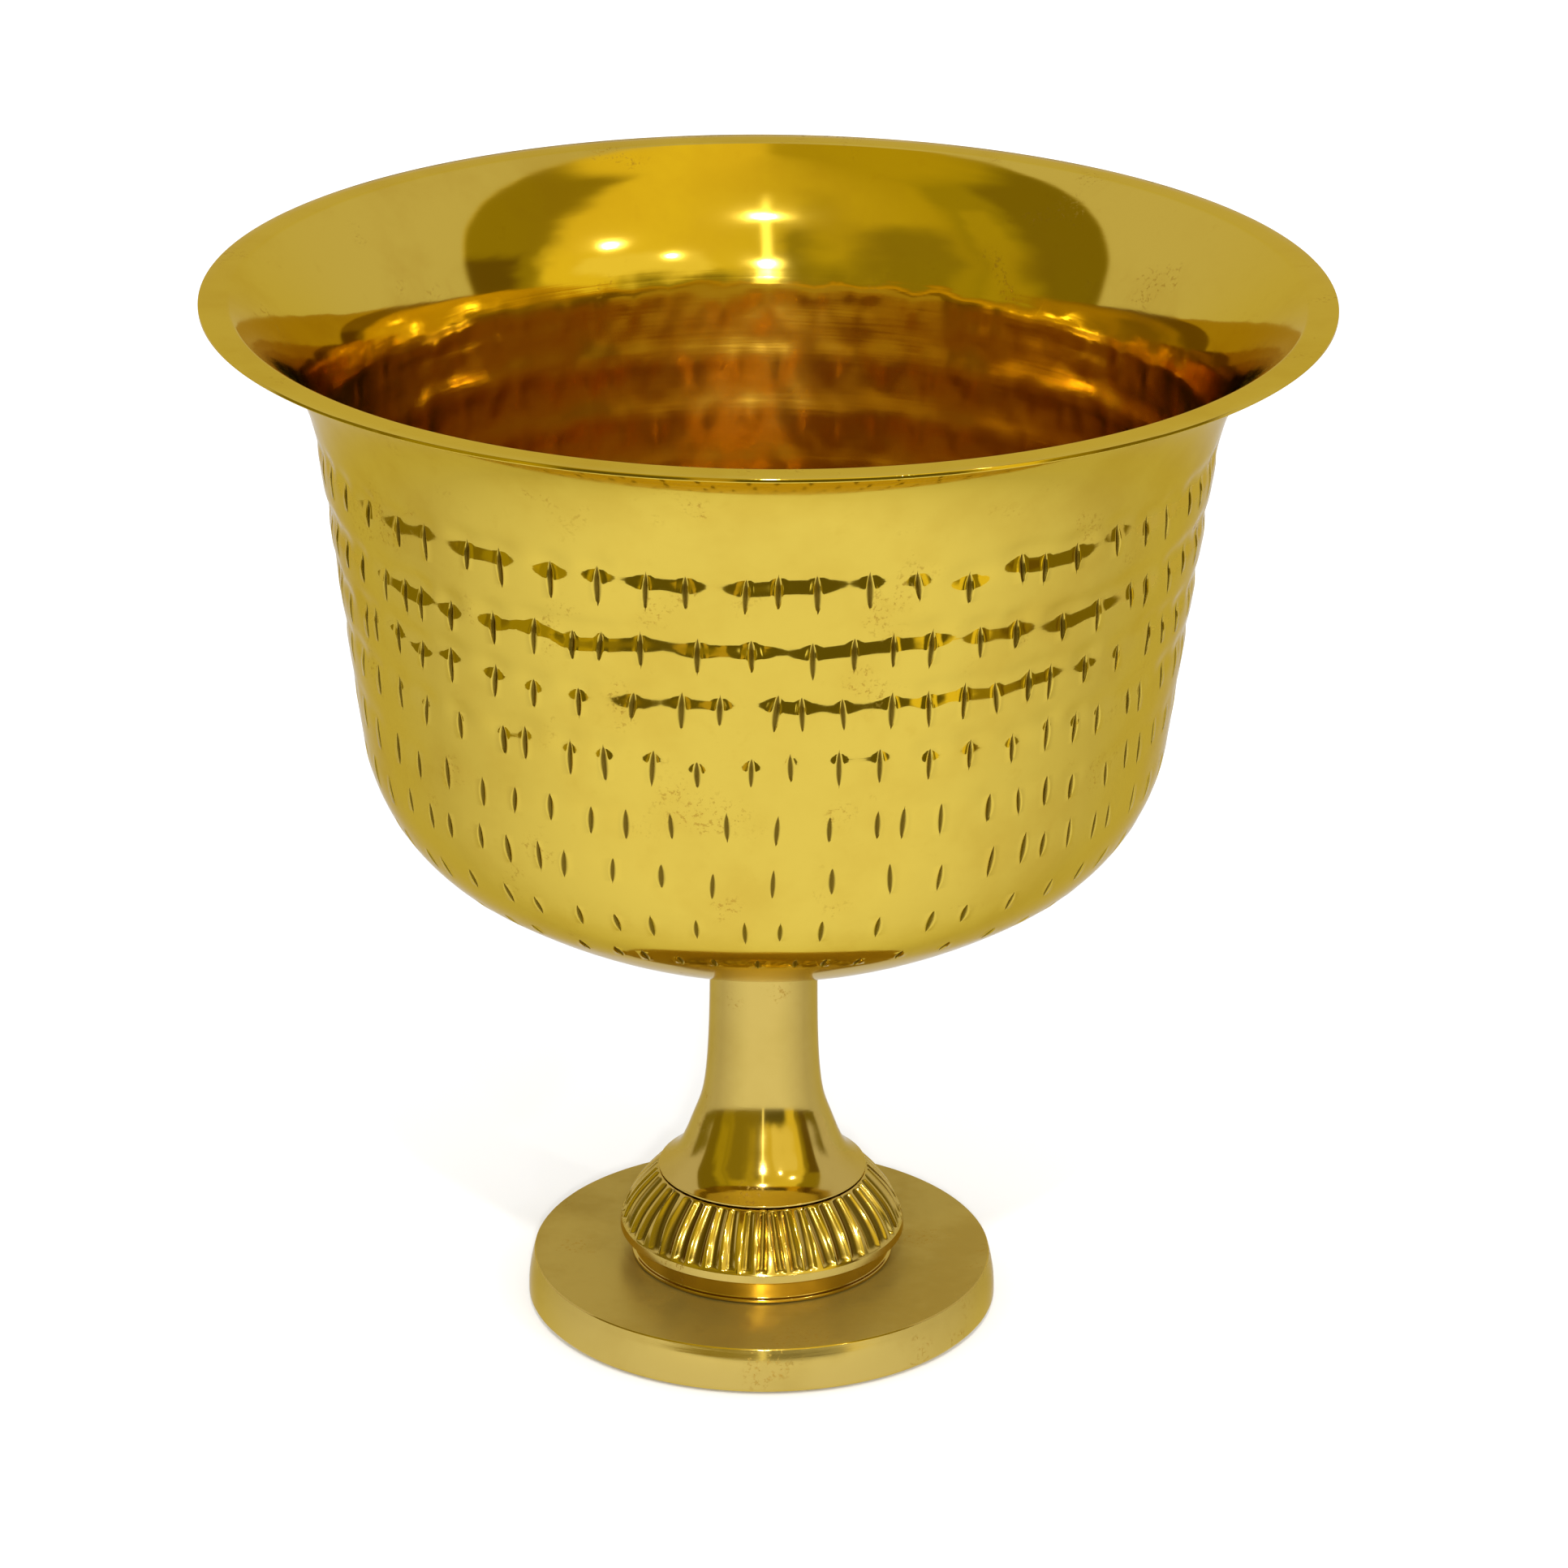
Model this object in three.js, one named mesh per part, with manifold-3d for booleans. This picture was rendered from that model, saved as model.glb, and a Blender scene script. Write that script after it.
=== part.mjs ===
// Brass pedestal planter: a spun sheet bowl with a flared lip, standing on a
// turned stem, a fluted collar, a plinth ring and a heavy cast base. One
// threaded rod clamps the whole stack together between a dome nut inside the
// bowl and a thin hex nut in the hollow under the base.
//
// Millimetres, +Z up. The origin is the centre of the resting face.

import * as THREE from "three";
import { mergeVertices } from "three/addons/utils/BufferGeometryUtils.js";
import Module from "manifold-3d";

// ---------------------------------------------------------------- dimensions

const GAP = 0.3; // between neighbouring pieces

// bowl, spun from sheet
const SHEET = 1.0;
const LIP_HEIGHT = 247.5; // top face of the lip
const LIP_RADIUS = 127;
const SEAT_HEIGHT = 91.2; // underside of the flat seat on the stem
const SEAT_RADIUS = 19;
const FLOOR_SLOPE = 12; // degrees, where the floor leaves the seat
const FLOOR_CURVE = 153.5; // radius of the shallow dished floor
const KNUCKLE_SLOPE = 34; // degrees, where floor turns into knuckle
const KNUCKLE_CURVE = 44.5;
const WALL_SLOPE = 82.5; // degrees from level: the wall opens upwards
const FLARE_CURVE = 42.6;
const FLARE_SLOPE = 32.7; // degrees, where the flare meets the flat lip

// stem, a turned horn
const STEM_FOOT_HEIGHT = 32.7;
const STEM_FOOT_RADIUS = 25.7;
const STEM_WAIST_RADIUS = 12.5;
const STEM_FLARE_LENGTH = 9.4; // height in which the flare shrinks by 1/e
const STEM_HEAD_RADIUS = 16.5;
const STEM_COVE = 4.2; // cove under the head
const STEM_BORE = 9;

// fluted collar
const COLLAR_TOP_RADIUS = 25.6;
const COLLAR_RADIUS = 33.5;
const COLLAR_EDGE_HEIGHT = 19.6; // top of the plain edge band
const COLLAR_BOTTOM = 17.4;
const COLLAR_BULGE = 1.1;
const COLLAR_BORE = 11;
const FLUTES = 50;
const FLUTE_DEPTH = 0.7;

// plinth ring
const PLINTH_RADIUS = 30.1;
const PLINTH_BEAD = 0.7;
const PLINTH_BORE = 9;

// base
const BASE_HEIGHT = 11.1;
const BASE_TOP_RADIUS = 53.9;
const BASE_RADIUS = 55.2;
const BASE_LIFT = 0.5; // the felt stands this far below the metal
const BASE_WEB = 8; // underside of the web
const HOLLOW_RADIUS = 38;
const FELT_INNER = 41.5;
const FELT_OUTER = 52;
const FELT_GROOVE = 1.5; // depth of the felt's groove

// clamping hardware, M6
const ROD_RADIUS = 3;
const HOLE_RADIUS = 3.3;
const ROD_BOTTOM = 0.9;
const ROD_TOP = SEAT_HEIGHT + 10.2; // ends inside the dome nut
const RUBBER_RADIUS = 11;
const RUBBER_THICKNESS = 1.5;
const TOP_WASHER_RADIUS = 9;
const TOP_WASHER_THICKNESS = 1.2;
const GASKET_THICKNESS = 1.2;
const GASKET_RADIUS = 15.5;
const PLATE_WASHER_RADIUS = 12;
const PLATE_WASHER_THICKNESS = 1.2;
const SPRING_WASHER_RADIUS = 5.9;
const SPRING_WASHER_THICKNESS = 1.4;
const NUT_FLATS = 10; // across flats
const THIN_NUT_HEIGHT = 3.2;
const DOME_NUT_HEX_HEIGHT = 5.5;
const DOME_RADIUS = 4.75;

// ----------------------------------------------------------------- materials

const BRASS = { color: 0xd8b44a, roughness: 0.16, metalness: 1 };
const SATIN_BRASS = { color: 0xb8984a, roughness: 0.42, metalness: 1 };
const STEEL = { color: 0xa8a9ab, roughness: 0.35, metalness: 1 };
const RUBBER = { color: 0x1d1d1f, roughness: 0.85, metalness: 0 };
const FELT = { color: 0x2f3b33, roughness: 1, metalness: 0 };

const planter = new THREE.Group();

function add(name, geometry, look) {
  const mesh = new THREE.Mesh(geometry, new THREE.MeshStandardMaterial(look));
  mesh.name = name;
  planter.add(mesh);
  return mesh;
}

// ------------------------------------------------------------ shape helpers

const radians = THREE.MathUtils.degToRad;

// Turns a closed outline of [radius, height] pairs about the Z axis. The
// outline runs anticlockwise: up the outside and down the inside.
function turned(outline, segments = 48) {
  const points = [...outline, outline[0]].map(([r, z]) => new THREE.Vector2(r, z));
  const geometry = new THREE.LatheGeometry(points, segments);
  return geometry.rotateX(Math.PI / 2);
}

// A flat ring with a square section.
function ring(inner, outer, bottom, top, segments = 32) {
  return turned([[inner, bottom], [outer, bottom], [outer, top], [inner, top]], segments);
}

// A profile traced by a point that moves with a heading above level.
class Trace {
  constructor(r, z) {
    this.points = [[r, z]];
    this.heading = 0;
  }

  get end() {
    return this.points[this.points.length - 1];
  }

  line(length) {
    const [r, z] = this.end;
    const angle = radians(this.heading);
    this.points.push([r + length * Math.cos(angle), z + length * Math.sin(angle)]);
    return this;
  }

  // Bends round an arc until the heading is the one given.
  bend(radius, heading, steps) {
    const [r, z] = this.end;
    const start = radians(this.heading);
    const side = Math.sign(heading - this.heading);
    for (let i = 1; i <= steps; i += 1) {
      const angle = start + ((radians(heading) - start) * i) / steps;
      const dr = side * radius * (Math.sin(angle) - Math.sin(start));
      const dz = side * radius * (Math.cos(start) - Math.cos(angle));
      this.points.push([r + dr, z + dz]);
    }
    this.heading = heading;
    return this;
  }

  turnTo(heading) {
    this.heading = heading;
    return this;
  }
}

// The same path, moved sideways to its left by a distance, with mitred corners.
function offset(path, distance) {
  const vectors = path.map(([r, z]) => new THREE.Vector2(r, z));
  return vectors.map((point, i) => {
    const before = vectors[Math.max(i - 1, 0)];
    const after = vectors[Math.min(i + 1, vectors.length - 1)];
    const into = (i > 0 ? point.clone().sub(before) : after.clone().sub(point)).normalize();
    const out = (i < vectors.length - 1 ? after.clone().sub(point) : into.clone()).normalize();
    const along = into.clone().add(out).normalize();
    const reach = distance / along.dot(into);
    return [point.x - along.y * reach, point.y + along.x * reach];
  });
}

function hexagon(flats) {
  const shape = new THREE.Shape();
  const corner = flats / Math.sqrt(3);
  for (let i = 0; i < 6; i += 1) {
    const angle = (i * Math.PI) / 3;
    const step = i === 0 ? "moveTo" : "lineTo";
    shape[step](corner * Math.cos(angle), corner * Math.sin(angle));
  }
  shape.closePath();
  return shape;
}

function hole(radius) {
  const path = new THREE.Path();
  path.absarc(0, 0, radius, 0, 2 * Math.PI, true);
  return path;
}

function plate(shape, bottom, height, curveSegments = 12) {
  const options = { depth: height, bevelEnabled: false, curveSegments };
  return new THREE.ExtrudeGeometry(shape, options).translate(0, 0, bottom);
}

// ------------------------------------------------------------------ booleans

const wasm = await Module();
wasm.setup();

function solid(geometry) {
  const bare = geometry.clone();
  bare.deleteAttribute("normal");
  bare.deleteAttribute("uv");
  const merged = mergeVertices(bare, 1e-4);
  const mesh = new wasm.Mesh({
    numProp: 3,
    vertProperties: new Float32Array(merged.attributes.position.array),
    triVerts: new Uint32Array(merged.index.array),
  });
  mesh.merge();
  return new wasm.Manifold(mesh);
}

function surface(manifold) {
  const mesh = manifold.getMesh();
  const geometry = new THREE.BufferGeometry();
  geometry.setAttribute("position", new THREE.BufferAttribute(mesh.vertProperties, 3));
  geometry.setIndex(new THREE.BufferAttribute(mesh.triVerts, 1));
  geometry.computeVertexNormals();
  return geometry;
}

// ---------------------------------------------------------------- sub-parts

// Outer face of the sheet, from the rod's hole out to the lip's edge. The wall
// is as long as the lip's height needs.
function bowlOutside() {
  const path = new Trace(HOLE_RADIUS, SEAT_HEIGHT);
  path.line(SEAT_RADIUS - HOLE_RADIUS);
  path.turnTo(FLOOR_SLOPE).bend(FLOOR_CURVE, KNUCKLE_SLOPE, 4);
  path.bend(KNUCKLE_CURVE, WALL_SLOPE, 7);
  const flareCosines = Math.cos(radians(FLARE_SLOPE)) - Math.cos(radians(WALL_SLOPE));
  const wallRise = LIP_HEIGHT - SHEET - path.end[1] - FLARE_CURVE * flareCosines;
  path.line(wallRise / Math.sin(radians(WALL_SLOPE)));
  path.bend(FLARE_CURVE, FLARE_SLOPE, 6);
  path.turnTo(0).line(LIP_RADIUS - path.end[0]);
  return path.points;
}

function makeBowl() {
  const outside = bowlOutside();
  const inside = offset(outside, SHEET);
  add("bowl", turned([...outside, ...inside.reverse()], 64), BRASS);
}

// Radius of the stem's outside: a horn that dies away into the waist.
function stemRadius(z) {
  const flare = STEM_FOOT_RADIUS - STEM_WAIST_RADIUS;
  return STEM_WAIST_RADIUS + flare * Math.exp((STEM_FOOT_HEIGHT - z) / STEM_FLARE_LENGTH);
}

const STEM_TOP = SEAT_HEIGHT - GAP - GASKET_THICKNESS - GAP;

function makeStem() {
  const coveStart = STEM_TOP - STEM_COVE;
  const outline = [[STEM_BORE, STEM_FOOT_HEIGHT], [STEM_FOOT_RADIUS - 0.6, STEM_FOOT_HEIGHT]];
  const steps = 13;
  for (let i = 0; i <= steps; i += 1) {
    const z = STEM_FOOT_HEIGHT + 0.6 + (coveStart - STEM_FOOT_HEIGHT - 0.6) * (i / steps) ** 1.4;
    outline.push([stemRadius(z), z]);
  }
  const neck = stemRadius(coveStart);
  for (let i = 1; i <= 3; i += 1) {
    const angle = (i * Math.PI) / 6;
    const r = neck + (STEM_HEAD_RADIUS - neck) * (1 - Math.cos(angle));
    outline.push([r, coveStart + (STEM_COVE - 1) * Math.sin(angle)]);
  }
  outline.push([STEM_HEAD_RADIUS, STEM_TOP], [STEM_BORE, STEM_TOP]);
  add("stem", turned(outline), BRASS);
}

function flute(angle) {
  return 0.5 - 0.5 * Math.cos(FLUTES * angle);
}

// A crowned cone whose skin is cut with upright flutes above a plain edge.
function makeFlutedCollar() {
  const top = STEM_FOOT_HEIGHT - GAP;
  const outline = [[COLLAR_BORE, COLLAR_BOTTOM], [COLLAR_RADIUS, COLLAR_BOTTOM]];
  outline.push([COLLAR_RADIUS, COLLAR_EDGE_HEIGHT]);
  const steps = 4;
  for (let i = 0; i <= steps; i += 1) {
    const t = i / steps;
    const r = COLLAR_RADIUS + (COLLAR_TOP_RADIUS - COLLAR_RADIUS) * t;
    const z = COLLAR_EDGE_HEIGHT + 0.3 + (top - COLLAR_EDGE_HEIGHT - 0.3) * t;
    outline.push([r + COLLAR_BULGE * Math.sin(Math.PI * t), z]);
  }
  outline.push([COLLAR_BORE, top]);
  const geometry = turned(outline, FLUTES * 3);
  const position = geometry.attributes.position;
  for (let i = 0; i < position.count; i += 1) {
    const x = position.getX(i);
    const y = position.getY(i);
    const isFluted = position.getZ(i) > COLLAR_EDGE_HEIGHT + 0.1 && Math.hypot(x, y) > COLLAR_BORE + 1;
    const scale = isFluted ? 1 - (FLUTE_DEPTH * flute(Math.atan2(y, x))) / Math.hypot(x, y) : 1;
    position.setXY(i, x * scale, y * scale);
  }
  add("fluted_collar", geometry, BRASS);
}

function makePlinthRing() {
  const bottom = BASE_HEIGHT + GAP;
  const top = COLLAR_BOTTOM - GAP;
  const foot = PLINTH_RADIUS + PLINTH_BEAD;
  add("plinth_ring", turned([
    [PLINTH_BORE, bottom],
    [foot, bottom],
    [foot, bottom + PLINTH_BEAD],
    [PLINTH_RADIUS, bottom + PLINTH_BEAD + 0.3],
    [PLINTH_RADIUS, top],
    [PLINTH_BORE, top],
  ]), BRASS);
}

function makeBase() {
  const belly = (BASE_RADIUS + BASE_TOP_RADIUS) / 2 + 0.35; // the side is slightly full
  const grooveTop = BASE_LIFT + FELT_GROOVE;
  add("base_disc", turned([
    [HOLE_RADIUS, BASE_WEB],
    [HOLLOW_RADIUS - 2, BASE_WEB],
    [HOLLOW_RADIUS, BASE_WEB - 2],
    [HOLLOW_RADIUS, BASE_LIFT],
    [FELT_INNER - GAP, BASE_LIFT],
    [FELT_INNER - GAP, grooveTop],
    [FELT_OUTER + GAP, grooveTop],
    [FELT_OUTER + GAP, BASE_LIFT],
    [BASE_RADIUS - 0.6, BASE_LIFT],
    [BASE_RADIUS, BASE_LIFT + 0.8],
    [belly, BASE_HEIGHT / 2],
    [BASE_TOP_RADIUS, BASE_HEIGHT - 0.3],
    [BASE_TOP_RADIUS - 0.3, BASE_HEIGHT],
    [HOLE_RADIUS, BASE_HEIGHT],
  ], 60), SATIN_BRASS);
}

function makeFeltRing() {
  add("felt_ring", ring(FELT_INNER, FELT_OUTER, 0, BASE_LIFT + FELT_GROOVE - GAP, 48), FELT);
}

function makeRod() {
  const chamfer = 0.6;
  add("tie_rod", turned([
    [0, ROD_BOTTOM],
    [ROD_RADIUS - chamfer, ROD_BOTTOM],
    [ROD_RADIUS, ROD_BOTTOM + chamfer],
    [ROD_RADIUS, ROD_TOP - chamfer],
    [ROD_RADIUS - chamfer, ROD_TOP],
    [0, ROD_TOP],
  ], 24), STEEL);
}

function makeStemGasket() {
  const bottom = STEM_TOP + GAP;
  const gasket = ring(HOLE_RADIUS, GASKET_RADIUS, bottom, bottom + GASKET_THICKNESS);
  add("stem_gasket", gasket, RUBBER);
}

// Rubber washer, brass washer and dome nut, stacked on the bowl's floor.
function makeTopHardware() {
  const rubberBottom = SEAT_HEIGHT + SHEET + GAP;
  const washerBottom = rubberBottom + RUBBER_THICKNESS + GAP;
  const nutBottom = washerBottom + TOP_WASHER_THICKNESS + GAP;
  const rubberTop = rubberBottom + RUBBER_THICKNESS;
  add("sealing_washer", ring(HOLE_RADIUS, RUBBER_RADIUS, rubberBottom, rubberTop), RUBBER);
  const washerTop = washerBottom + TOP_WASHER_THICKNESS;
  add("top_washer", ring(HOLE_RADIUS, TOP_WASHER_RADIUS, washerBottom, washerTop), BRASS);
  makeDomeNut(nutBottom);
}

// A hexagon under a round cap, with a blind hole for the rod.
function makeDomeNut(bottom) {
  const hex = solid(plate(hexagon(NUT_FLATS), bottom, DOME_NUT_HEX_HEIGHT));
  const domeBottom = bottom + DOME_NUT_HEX_HEIGHT - 0.5;
  const cap = [[0, domeBottom], [DOME_RADIUS, domeBottom]];
  for (let i = 0; i < 5; i += 1) {
    const angle = (i * Math.PI) / 10;
    const z = domeBottom + 0.5 + DOME_RADIUS * Math.sin(angle);
    cap.push([DOME_RADIUS * Math.cos(angle), z]);
  }
  cap.push([0, domeBottom + 0.5 + DOME_RADIUS]);
  const dome = solid(turned(cap, 24));
  const bore = solid(turned([
    [0, bottom - 1],
    [HOLE_RADIUS, bottom - 1],
    [HOLE_RADIUS, ROD_TOP + GAP],
    [0, ROD_TOP + 1.5],
  ], 24));
  add("dome_nut", surface(hex.add(dome).subtract(bore)), BRASS);
}

// A flat ring with a narrow split.
function splitRing(inner, outer, bottom, height) {
  const half = radians(4);
  const shape = new THREE.Shape();
  shape.absarc(0, 0, outer, half, 2 * Math.PI - half, false);
  shape.absarc(0, 0, inner, 2 * Math.PI - half, half, true);
  shape.closePath();
  return plate(shape, bottom, height, 18);
}

// Plate washer, split washer and thin nut, hung under the base's web.
function makeBottomHardware() {
  const plateBottom = BASE_WEB - GAP - PLATE_WASHER_THICKNESS;
  const springBottom = plateBottom - GAP - SPRING_WASHER_THICKNESS;
  const nutBottom = springBottom - GAP - THIN_NUT_HEIGHT;
  const plateTop = plateBottom + PLATE_WASHER_THICKNESS;
  add("plate_washer", ring(HOLE_RADIUS, PLATE_WASHER_RADIUS, plateBottom, plateTop), STEEL);
  const spring = splitRing(HOLE_RADIUS, SPRING_WASHER_RADIUS, springBottom, SPRING_WASHER_THICKNESS);
  add("spring_washer", spring, STEEL);
  const nut = hexagon(NUT_FLATS);
  nut.holes.push(hole(HOLE_RADIUS));
  add("thin_nut", plate(nut, nutBottom, THIN_NUT_HEIGHT), STEEL);
}

makeBowl();
makeStem();
makeFlutedCollar();
makePlinthRing();
makeBase();
makeFeltRing();
makeRod();
makeStemGasket();
makeTopHardware();
makeBottomHardware();

export default planter;
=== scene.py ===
"""Brass planter pot: the looks of its pieces, in metres, in the CAD frame."""
import math

import bpy
import numpy as np
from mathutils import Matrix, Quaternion, Vector


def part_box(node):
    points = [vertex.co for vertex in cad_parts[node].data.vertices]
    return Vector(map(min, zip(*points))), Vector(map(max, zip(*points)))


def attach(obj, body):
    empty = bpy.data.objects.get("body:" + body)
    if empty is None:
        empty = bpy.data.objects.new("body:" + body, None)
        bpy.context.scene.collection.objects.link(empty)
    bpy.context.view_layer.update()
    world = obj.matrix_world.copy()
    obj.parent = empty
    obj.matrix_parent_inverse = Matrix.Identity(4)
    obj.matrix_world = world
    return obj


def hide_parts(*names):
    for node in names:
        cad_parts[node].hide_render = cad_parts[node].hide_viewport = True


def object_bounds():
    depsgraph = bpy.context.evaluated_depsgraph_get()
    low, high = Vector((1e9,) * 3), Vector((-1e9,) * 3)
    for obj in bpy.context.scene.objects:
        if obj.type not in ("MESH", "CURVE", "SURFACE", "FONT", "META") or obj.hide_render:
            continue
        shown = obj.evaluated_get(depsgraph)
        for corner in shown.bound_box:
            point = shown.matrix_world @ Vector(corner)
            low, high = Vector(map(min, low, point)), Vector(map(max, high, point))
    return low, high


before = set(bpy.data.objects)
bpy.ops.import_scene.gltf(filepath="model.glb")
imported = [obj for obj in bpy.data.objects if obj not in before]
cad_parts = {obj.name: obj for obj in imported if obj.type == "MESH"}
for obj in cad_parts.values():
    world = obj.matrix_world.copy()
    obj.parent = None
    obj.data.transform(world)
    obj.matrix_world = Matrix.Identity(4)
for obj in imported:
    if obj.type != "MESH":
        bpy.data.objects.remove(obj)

MM = 0.001
START_BOUNDS = [list(corner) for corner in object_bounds()]
rng = np.random.default_rng(11)


# ---------------------------------------------------------------- outlines
# An outline is a list of (r, z, nr, nz) in mm: a point and the direction that its surface faces.

def arc_points(centre, radius, start, end, steps):
    """Points of a round edge, facing away from its centre, from angle start to angle end in degrees."""
    points = []
    for k in range(steps + 1):
        a = math.radians(start + (end - start) * k / steps)
        nr, nz = math.cos(a), math.sin(a)
        points.append((centre[0] + radius * nr, centre[1] + radius * nz, nr, nz))
    return points


def rounded(corners):
    """An outline from corners (r, z, edge radius) in mm, which go counter-clockwise in the r-z plane."""
    points = []
    count = len(corners)
    for k in range(count):
        r, z, edge = corners[k]
        before = corners[k - 1]
        after = corners[(k + 1) % count]
        into = np.array([r - before[0], z - before[1]], float)
        out = np.array([after[0] - r, after[1] - z], float)
        into_length, out_length = np.hypot(*into), np.hypot(*out)
        into /= into_length
        out /= out_length
        n0 = np.array([into[1], -into[0]])
        n1 = np.array([out[1], -out[0]])
        cosine = float(np.clip(n0 @ n1, -1, 1))
        turn = math.acos(cosine)
        if turn < math.radians(25):
            n = (n0 + n1) / np.hypot(*(n0 + n1))
            points.append((r, z, n[0], n[1]))
            continue
        cut = min(edge * math.tan(turn / 2), 0.45 * into_length, 0.45 * out_length)
        start = np.array([r, z]) - into * cut
        end = np.array([r, z]) + out * cut
        for t in (0, 1 / 3, 2 / 3, 1):
            n = n0 * (1 - t) + n1 * t
            n /= np.hypot(*n)
            p = (1 - t) ** 2 * start + 2 * t * (1 - t) * np.array([r, z]) + t * t * end
            points.append((p[0], p[1], n[0], n[1]))
    return points


def lathe(outline, segments):
    """Vertices, faces and normals of a turned body, whose outline is closed on itself."""
    data = np.array(outline, float)
    angle = np.arange(segments) * 2 * math.pi / segments
    c, s = np.cos(angle), np.sin(angle)
    r, z, nr, nz = (data[:, k][:, None] for k in range(4))
    co = np.stack([r * c, r * s, z + 0 * c], 2)
    no = np.stack([nr * c, nr * s, nz + 0 * c], 2)
    rows = len(outline)
    i = np.arange(rows)[:, None]
    j = np.arange(segments)[None, :]
    i2, j2 = (i + 1) % rows, (j + 1) % segments
    faces = np.stack([i * segments + j, i * segments + j2, i2 * segments + j2, i2 * segments + j], 2)
    return co.reshape(-1, 3), faces.reshape(-1, 4).tolist(), no.reshape(-1, 3)


def body(name, co, faces, normals, material, node, slot, layers={}):
    """One mesh object that stands for a CAD node. co is in mm."""
    mesh = bpy.data.meshes.new(name)
    mesh.from_pydata((np.asarray(co) * MM).tolist(), [], faces)
    mesh.update()
    mesh.polygons.foreach_set("use_smooth", [True] * len(mesh.polygons))
    for key, values in layers.items():
        mesh.attributes.new(key, "FLOAT", "POINT").data.foreach_set("value", np.asarray(values, np.float32))
    if normals is not None:
        mesh.normals_split_custom_set_from_vertices(np.asarray(normals).tolist())
    mesh.materials.append(material)
    obj = bpy.data.objects.new(name, mesh)
    bpy.context.scene.collection.objects.link(obj)
    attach(obj, "root")
    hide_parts(node)
    return obj


# ---------------------------------------------------------------- materials

class Nodes:
    """Short names for building a node tree."""

    def __init__(self, tree):
        self.tree = tree

    def add(self, kind, **settings):
        node = self.tree.nodes.new(kind)
        for key, value in settings.items():
            setattr(node, key, value)
        return node

    def link(self, a, b):
        self.tree.links.new(a, b)

    def math(self, operation, a, b=0.0, clamp=False):
        node = self.add("ShaderNodeMath", operation=operation, use_clamp=clamp)
        for socket, value in zip(node.inputs, (a, b)):
            if isinstance(value, (int, float)):
                socket.default_value = value
            else:
                self.link(value, socket)
        return node.outputs[0]

    def noise(self, vector, scale, detail=2.0, roughness=0.5):
        node = self.add("ShaderNodeTexNoise")
        node.inputs["Scale"].default_value = scale
        node.inputs["Detail"].default_value = detail
        node.inputs["Roughness"].default_value = roughness
        self.link(vector, node.inputs["Vector"])
        return node.outputs["Fac"]

    def step(self, value, low, high, to_low=0.0, to_high=1.0):
        node = self.add("ShaderNodeMapRange", interpolation_type="SMOOTHSTEP")
        self.link(value, node.inputs["Value"])
        node.inputs["From Min"].default_value = low
        node.inputs["From Max"].default_value = high
        node.inputs["To Min"].default_value = to_low
        node.inputs["To Max"].default_value = to_high
        return node.outputs["Result"]

    def mix(self, factor, a, b):
        node = self.add("ShaderNodeMix", data_type="RGBA")
        if isinstance(factor, (int, float)):
            node.inputs["Factor"].default_value = factor
        else:
            self.link(factor, node.inputs["Factor"])
        for socket, value in ((node.inputs[6], a), (node.inputs[7], b)):
            if isinstance(value, tuple):
                socket.default_value = (*value, 1)
            else:
                self.link(value, socket)
        return node.outputs[2]


class Surface(Nodes):
    """A material with a Principled shader."""

    def __init__(self, name):
        self.material = bpy.data.materials.new(name)
        self.material.use_nodes = True
        super().__init__(self.material.node_tree)
        self.shader = self.tree.nodes["Principled BSDF"]
        self.place = self.add("ShaderNodeTexCoord").outputs["Object"]

    def rings(self, across):
        """Coordinates in which noise becomes thin rings round the Z axis, across lines per metre."""
        split = self.add("ShaderNodeSeparateXYZ")
        self.link(self.place, split.inputs[0])
        flat = self.add("ShaderNodeCombineXYZ")
        self.link(split.outputs[0], flat.inputs[0])
        self.link(split.outputs[1], flat.inputs[1])
        length = self.add("ShaderNodeVectorMath", operation="LENGTH")
        self.link(flat.outputs[0], length.inputs[0])
        join = self.add("ShaderNodeCombineXYZ")
        self.link(self.math("MULTIPLY", length.outputs["Value"], across), join.inputs[0])
        self.link(self.math("MULTIPLY", split.outputs[2], across), join.inputs[1])
        self.link(self.math("MULTIPLY", split.outputs[0], 30.0), join.inputs[2])
        return join.outputs[0]

    def bump(self, height, distance, normal=None):
        node = self.add("ShaderNodeBump")
        node.inputs["Strength"].default_value = 1.0
        node.inputs["Distance"].default_value = distance
        self.link(height, node.inputs["Height"])
        if normal is not None:
            self.link(normal, node.inputs["Normal"])
        return node.outputs[0]


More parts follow.
